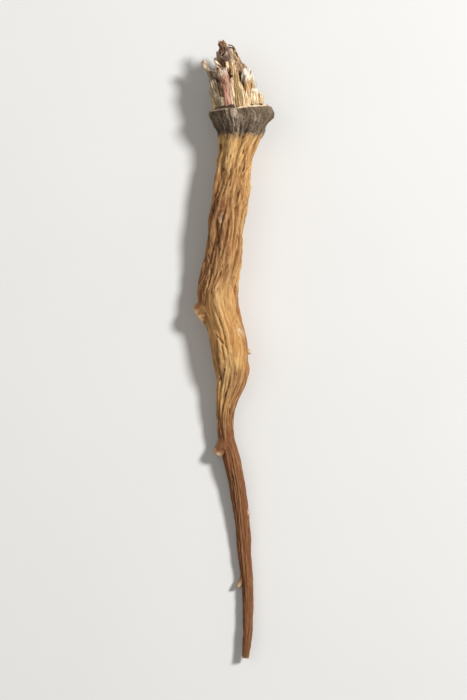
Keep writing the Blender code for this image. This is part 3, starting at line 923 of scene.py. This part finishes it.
def scrap(kind, degrees, seat, draw):
    """A row like those of SCALES, drawn at random: pale on the upper right, else darker."""
    lean = draw.uniform(*kind.lean) - kind.inward_lean * inward(degrees)
    length, width = draw.uniform(*kind.length), draw.uniform(*kind.width)
    bend = draw.uniform(*kind.bend) - kind.inward_bend * inward(degrees)
    curl, sway = draw.uniform(*kind.curl), draw.uniform(*kind.sway)
    finish = draw.choice(PALE_SCRAPS if 10 < degrees < 100 and seat < 6 else DARK_SCRAPS)
    return degrees, seat, length, width, lean, curl, bend, sway, finish, kind.strips


def torn_lip(blank, rim, start, end, breadth, finish, seed):
    """A stretch of the thin curled lip along the collar's rim."""
    piece = copy_of(blank, "torn_lip")
    share, rise, _ = (spots_of(piece) + (0.5, 0, 0)).T
    bearing = np.radians(start + (end - start) * share)
    ends = smooth(share * 9) * smooth((1 - share) * 9)
    broad = breadth * (1 + LIP_RAGGED * noise_at(share * 13, seed, seed)) * ends
    bearings = np.arange(len(rim)) * 2 * math.pi / len(rim)
    foot = stacked(*(np.interp(bearing, bearings, part, period=2 * math.pi) for part in rim.T))
    out = LIP_CURL * np.sin(math.pi * np.minimum(1, rise * 1.1)) * ends
    spread = foot + stacked(np.cos(bearing), 0, np.sin(bearing)) * out[:, None]
    spread[:, 1] += rise * broad - 0.2
    move_spots(piece, spread)
    return coloured(piece, blend_tint(finish, 0.6 + 0.4 * rise, seed, share * 9), spread[:, [0, 2, 1]])


def papery_scales(rim):
    """Thin scales and shreds all round the crown, and the lip below them."""
    draw = random.Random(11)
    rows = list(SCALES)
    for number in range(SCALE_COUNT):
        degrees = (number * GOLDEN_ANGLE) % 360
        seat = draw.uniform(7.0, 9.8) if 20 < degrees < 165 else draw.uniform(2.0, 9.0)
        rows.append(scrap(OTHER_SCALES, degrees, seat, draw))
    blank = strip_blank(*SCALE_GRID)
    pieces = [papery_scale(blank, row, 3.1 * i) for i, row in enumerate(rows)]
    shred_blank = strip_blank(*SHRED_GRID)
    for number in range(SHRED_COUNT):
        degrees = (number * GOLDEN_ANGLE + 70) % 360
        row = scrap(SHREDS, degrees, draw.uniform(6.2 if 12 < degrees < 125 else 2.2, 11.0), draw)
        pieces.append(papery_scale(shred_blank, row, 1.7 * number + 0.3))
    lip_blank = strip_blank(*LIP_GRID)
    pieces += [torn_lip(lip_blank, rim, *row, 2.3 * i) for i, row in enumerate(LIPS)]
    whole = joined("papery_scales", pieces, blank, shred_blank, lip_blank)
    wall = whole.modifiers.new("thickness", "SOLIDIFY")
    wall.thickness = SCALE_THICKNESS * MM
    wall.offset = 0
    bpy.ops.object.modifier_apply(modifier=wall.name)
    return whole


def follow(rows, share):
    """Places at shares of the way along rows of three numbers."""
    return stacked(*(np.interp(share, np.linspace(0, 1, len(rows)), part) for part in rows.T))


def strand(blank, path, radius, tint, seed):
    """A fibre along a path of points, thinner at its tip."""
    piece = copy_of(blank, "fibre")
    x, y, share = spots_of(piece).T
    path = np.array(path)
    centre = follow(path, share)
    heading = follow(np.gradient(path, axis=0), share)
    heading /= np.linalg.norm(heading, axis=1)[:, None]
    first = np.cross(heading, (0.31, 0.12, 0.94))
    first /= np.linalg.norm(first, axis=1)[:, None]
    second = np.cross(heading, first)
    girth = radius * (1 - 0.55 * share) * (1 + 0.35 * np.sin(share * 17 + seed))
    spread = centre + first * (x * girth)[:, None] + second * (y * girth)[:, None]
    move_spots(piece, spread)
    return coloured(piece, (*tint, 1.0), spread)


def loose_fibre(blank, foot, line, length, radius, tint, draw):
    """A fibre that leaves its foot along a line and then wanders."""
    path = [foot]
    heading = line
    for _ in range(FIBRE_BENDS):
        heading = np.add(heading, [draw.uniform(-0.42, 0.42) for _ in range(3)])
        heading /= np.linalg.norm(heading)
        path.append(inside_box(path[-1] + heading * length / FIBRE_BENDS))
    return strand(blank, path, radius, tint, draw.uniform(0, 6))


def crown_fibres(blank):
    """Fine fibres among the leaf stubs."""
    draw = random.Random(23)
    pieces = []
    for number in range(CROWN_FIBRES):
        degrees = (number * GOLDEN_ANGLE + 40) % 360
        seat = draw.uniform(2.0, 10.5)
        lean = draw.uniform(-6, 14) - 10 * inward(degrees)
        foot, line, _, outwards = seat_on_crown(degrees, seat, lean)
        finish = draw.choice(FIBRE_TINTS)
        tint = [value * draw.uniform(0.6, 1.1) for value in TINTS[finish][1]]
        radius = draw.uniform(0.02, 0.06)
        start = foot + outwards * draw.uniform(0.1, 0.6)
        pieces.append(loose_fibre(blank, start, line, draw.uniform(1.0, 2.8), radius, tint, draw))
    return pieces


def tail_splinters(blank):
    """Short fibres where the tail snapped."""
    draw = random.Random(5)
    end = SKIN_SPACING[-1][0]
    across, up, half_width, _ = section(end)
    pieces = []
    for number in range(SPLINTERS):
        bearing = number * 2.4
        spread = half_width * draw.uniform(0.2, 0.8)
        x = across + spread * math.cos(bearing)
        foot = np.array((x, end + 0.5, up + spread * math.sin(bearing)))
        tint = [value * draw.uniform(0.7, 1.0) for value in TINTS["cream"][0]]
        radius = draw.uniform(0.08, 0.16)
        pieces.append(loose_fibre(blank, foot, (-0.1, -1, 0), 0.85, radius, tint, draw))
    return pieces


def root_fibres():
    blank = ringed_cylinder(FIBRE_SIDES, FIBRE_CUTS)
    return joined("root_fibres", crown_fibres(blank) + tail_splinters(blank), blank)


def collar_crumbs(places):
    """Small crumbs of dead bark that lie half sunk in the collar."""
    draw = random.Random(37)
    segments, rings = CRUMB_FACES
    blank = added(bpy.ops.mesh.primitive_uv_sphere_add, segments=segments, ring_count=rings)
    pieces = []
    for number in range(CRUMBS):
        piece = copy_of(blank, "crumb")
        spots = spots_of(piece)
        spots = spots * (1 + 0.5 * read_noise(spots * 1.4 + number)[:, None])
        size = draw.uniform(*CRUMB_SIZES)
        spots = spots * (size * draw.uniform(0.6, 1), size * draw.uniform(0.9, 2.2), size)
        turn = Matrix.Rotation(draw.uniform(0, 3), 3, "Y")
        turn = turn @ Matrix.Rotation(draw.uniform(-0.5, 0.5), 3, "Z")
        spots = spots @ np.array(turn).T + places[draw.randrange(len(places))]
        move_spots(piece, spots)
        shade = draw.uniform(0.7, 1.2)
        tone = COLLAR_PALE if draw.random() < 0.2 else COLLAR_MID
        pieces.append(coloured(piece, [*(part * shade for part in tone[:3]), 1.0], spots))
    return joined("collar_crumbs", pieces, blank)


class Finish:
    """A material built up from nodes. Most methods give back the socket with their result."""

    def __init__(self, name, roughness, gloss):
        self.material = bpy.data.materials.new(name)
        self.material.use_nodes = True
        self.tree = self.material.node_tree
        self.shader = self.tree.nodes["Principled BSDF"]
        self.shader.inputs["Roughness"].default_value = roughness
        self.shader.inputs["Specular IOR Level"].default_value = gloss
        self.place = self.node("Attribute", attribute_name="grain").outputs["Vector"]

    def node(self, kind, inputs=(), **settings):
        made = self.tree.nodes.new("ShaderNode" + kind)
        for name, value in settings.items():
            setattr(made, name, value)
        for place, value in dict(inputs).items():
            socket = made.inputs[place]
            if isinstance(value, bpy.types.NodeSocket):
                self.tree.links.new(value, socket)
            else:
                socket.default_value = value
        return made

    def lead(self, socket, name):
        """Leads a socket to the named input of the shader."""
        self.tree.links.new(socket, self.shader.inputs[name])

    def mark(self, name, share=None):
        """A mark painted on the piece, or a share of it."""
        mark = self.node("Attribute", attribute_name=name).outputs["Fac"]
        return mark if share is None else self.times(mark, share)

    def tint(self, shade):
        """The tint painted on the piece, darkened by a shade."""
        tint = self.node("Attribute", attribute_name="tint").outputs["Color"]
        return self.mixed(1.0, tint, shade, "MULTIPLY")

    def noise(self, scale, detail=2.0, roughness=0.5, along=1.0):
        """Noise at the places painted on the piece, drawn out along its grain."""
        place = self.place
        if along != 1:
            place = self.node("Mapping", {"Vector": place, "Scale": (1, along, 1)}).outputs["Vector"]
        inputs = {"Vector": place, "Scale": scale, "Detail": detail, "Roughness": roughness}
        return self.node("TexNoise", inputs).outputs["Fac"]

    def ranged(self, value, low, high, to_low=0.0, to_high=1.0):
        inputs = {"Value": value, "From Min": low, "From Max": high, "To Min": to_low, "To Max": to_high}
        return self.node("MapRange", inputs, clamp=True).outputs["Result"]

    def plus(self, first, second):
        return self.node("Math", {0: first, 1: second}, operation="ADD").outputs[0]

    def times(self, first, second):
        return self.node("Math", {0: first, 1: second}, operation="MULTIPLY").outputs[0]

    def ramp(self, value, *stops):
        made = self.node("ValToRGB", {"Fac": value})
        for _ in stops[2:]:
            made.color_ramp.elements.new(0.5)
        for element, (place, colour) in zip(made.color_ramp.elements, stops):
            element.position = place
            element.color = colour
        return made.outputs["Color"]

    def mixed(self, share, first, second, blend="MIX"):
        inputs = {0: share, 6: first, 7: second}
        return self.node("Mix", inputs, data_type="RGBA", blend_type=blend).outputs[2]

    def finished(self, colour, layers, rough, strength, depth):
        """The material, given its colour, the layers laid over that in turn, and its bump."""
        for share, over in layers:
            colour = self.mixed(share, colour, over)
        inputs = {"Height": rough, "Strength": strength, "Distance": depth}
        normal = self.node("Bump", inputs).outputs["Normal"]
        self.lead(colour, "Base Color")
        self.lead(normal, "Normal")
        return self.material


def bark_finish():
    """Golden bark with streaks along its grain, grooves darkened as painted shade, ridges lightened as
    wear and painted highlight, and pale breaks.
    """
    f = Finish("dry_bark", 0.8, 0.3)
    streaks = f.noise(2100, 4, 0.68, 0.13)
    hairs = f.noise(6500, 3, 0.65, 0.1)
    patches = f.noise(210, 2, 0.5, 0.45)
    blotches = f.noise(480, 3, 0.6, 0.6)
    grit = f.noise(6000, 3, 0.6)
    both = f.plus(f.times(streaks, 0.6), f.times(hairs, 0.4))
    # Ridges lightened: partly wear, partly painted highlight
    worn_and_highlit = f.mark("ridge", f.ranged(grit, 0.3, 0.6, 0.3, 0.8))
    worn_and_highlit = f.times(worn_and_highlit, f.ranged(f.mark("rust_and_shade"), 0, 1, 1, 0.25))
    worn_and_highlit = f.times(worn_and_highlit, f.ranged(f.mark("plates"), 0, 1, 1, 0.6))
    soil = f.plus(f.mark("soil"), f.ranged(streaks, 0.38, 0.62, -0.5, 0.3))
    layers = (
        (f.ranged(patches, 0.5, 0.72, 0, 0.45), RUST_AND_SHADE),
        (f.ranged(blotches, 0.54, 0.72, 0, 0.3), OLIVE),
        (f.mark("plates", 0.5), AMBER),
        # Pale stretches, partly painted highlight along the top
        (f.mark("pale", f.ranged(streaks, 0.4, 0.6, 0.25, 0.6)), GOLD_PALE),
        # Rust, and painted shade towards the tail and along the lower right edge
        (f.mark("rust_and_shade", f.ranged(streaks, 0.38, 0.62, 1.0, 0.5)), RUST_AND_SHADE),
        (worn_and_highlit, GOLD_PALE),
        # Painted shade in the creases, pits and cracks
        (f.mark("crease_shade", f.ranged(hairs, 0.3, 0.6, 0.8, 0.35)), GROOVE_SHADE),
        (f.mark("crack", 0.9), GROOVE_SHADE),
        (f.mark("scar", 0.22), WOOD),
        (f.ranged(soil, 0.2, 0.8, 0, 0.9), COLLAR_MID),
        (f.mark("crown"), CORE_DARK),
        (f.mark("cut"), f.ramp(f.noise(2600, 3, 0.6), (0.38, WOOD_RING), (0.6, WOOD))),
    )
    colour = f.ramp(both, (0.41, TAN_DARK), (0.47, TAN), (0.52, GOLD), (0.6, GOLD_PALE))
    f.lead(f.ranged(streaks, 0.3, 0.7, 0.9, 0.68), "Roughness")
    rough = f.plus(f.times(both, 1.2), f.times(grit, 0.35))
    return f.finished(colour, layers, rough, 0.9, 0.0004)


def collar_finish():
    """Dead grey-brown bark with paler streaks along it, paler where it stands out as painted highlight
    with dust, and darker in its creases as painted shade.
    """
    f = Finish("collar_bark", 0.92, 0.2)
    streaks = f.noise(1300, 3, 0.6, 0.2)
    fine = f.noise(4200, 4, 0.7, 0.35)
    dust = f.noise(7000, 3, 0.7)
    blotches = f.noise(620, 3, 0.6, 0.7)
    layers = (
        # Painted highlight with dust on the ridges, and painted shade in the creases
        (f.mark("ridge", f.ranged(dust, 0.35, 0.65, 0.1, 0.6)), COLLAR_PALE),
        (f.mark("crease_shade", 0.5), COLLAR_DARK),
        (f.mark("pale", f.ranged(fine, 0.4, 0.6, 0.35, 0.9)), SCRAPED),
    )
    both = f.plus(f.times(streaks, 0.35), f.times(fine, 0.35))
    both = f.plus(both, f.times(blotches, 0.3))
    colour = f.ramp(both, (0.42, COLLAR_DARK), (0.5, COLLAR_MID), (0.59, COLLAR_PALE))
    return f.finished(colour, layers, f.plus(fine, f.times(dust, 0.6)), 1.0, 0.0004)


def stalk_finish():
    """Dry leaf stalk: its own tint with veins along it, specks and a rough fibrous surface."""
    f = Finish("dry_leaf_stalk", 0.75, 0.3)
    veins = f.noise(4600, 4, 0.7, 0.07)
    stains = f.noise(1300, 4, 0.65, 0.5)
    shade = f.ramp(veins, *zip((0.36, 0.5, 0.62), VEIN_SHADES))
    layers = ((f.ranged(stains, 0.54, 0.7, 0, 0.65), CORE_DARK),)
    f.lead(f.ranged(veins, 0.3, 0.7, 0.9, 0.62), "Roughness")
    return f.finished(f.tint(shade), layers, veins, 1.0, 0.0002)


def crumb_finish():
    """Dead bark crumbs, dark and dusty."""
    f = Finish("collar_crumb", 0.92, 0.2)
    dust = f.noise(4200, 4, 0.7)
    shade = f.ramp(dust, (0.35, (0.4, 0.4, 0.42, 1)), (0.65, (1, 1, 1, 1)))
    return f.finished(f.tint(shade), (), dust, 0.6, 0.00015)


def floor_finish():
    f = Finish("pale_paper", 0.85, 0.2)
    f.place = f.node("TexCoord").outputs["Object"]
    f.lead(f.mixed(f.ranged(f.noise(40), 0.3, 0.7), FLOOR, FLOOR_SHADE), "Base Color")
    return f.material


def dress(piece, finish):
    """Gives a piece its finish, and ties it to the frame."""
    piece.data.materials.clear()
    piece.data.materials.append(finish)
    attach(piece, BODY)
    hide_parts(NODE)


def soft_light(name, come_from, distance, size, power):
    lamp = bpy.data.lights.new(name, "AREA")
    lamp.shape = "DISK"
    lamp.size = size
    lamp.energy = power
    light = bpy.data.objects.new(name, lamp)
    light.location = Vector(come_from).normalized() * distance
    light.rotation_euler = (-light.location).to_track_quat("-Z", "Y").to_euler()
    bpy.context.scene.collection.objects.link(light)


def studio():
    """A pale floor, a key light from the upper right, a weak fill and the camera above."""
    floor = added(bpy.ops.mesh.primitive_plane_add, size=FLOOR_SIZE)
    floor.name = "floor"
    floor.data.materials.append(floor_finish())
    soft_light("key_light", *KEY_LIGHT)
    soft_light("fill_light", *FILL_LIGHT)
    world = bpy.data.worlds.new("studio")
    world.use_nodes = True
    background = world.node_tree.nodes["Background"]
    background.inputs["Color"].default_value = SKY
    background.inputs["Strength"].default_value = SKY_STRENGTH
    bpy.context.scene.world = world
    bpy.context.scene.view_settings.view_transform = "Standard"
    camera = bpy.data.cameras.new("camera")
    camera.lens = CAMERA_LENS
    camera.sensor_width = CAMERA_SENSOR
    viewer = bpy.data.objects.new("camera", camera)
    bpy.context.scene.collection.objects.link(viewer)
    viewer.location = (0, 0, FRAME_HEIGHT * CAMERA_LENS / CAMERA_SENSOR)
    bpy.context.scene.camera = viewer


stalk = stalk_finish()
dress(bark_skin(), bark_finish())
collar, collar_rim, crumb_places = collar_skin()
dress(collar, collar_finish())
dress(leaf_stubs(), stalk)
dress(papery_scales(collar_rim), stalk)
dress(root_fibres(), stalk)
dress(collar_crumbs(crumb_places), crumb_finish())
studio()
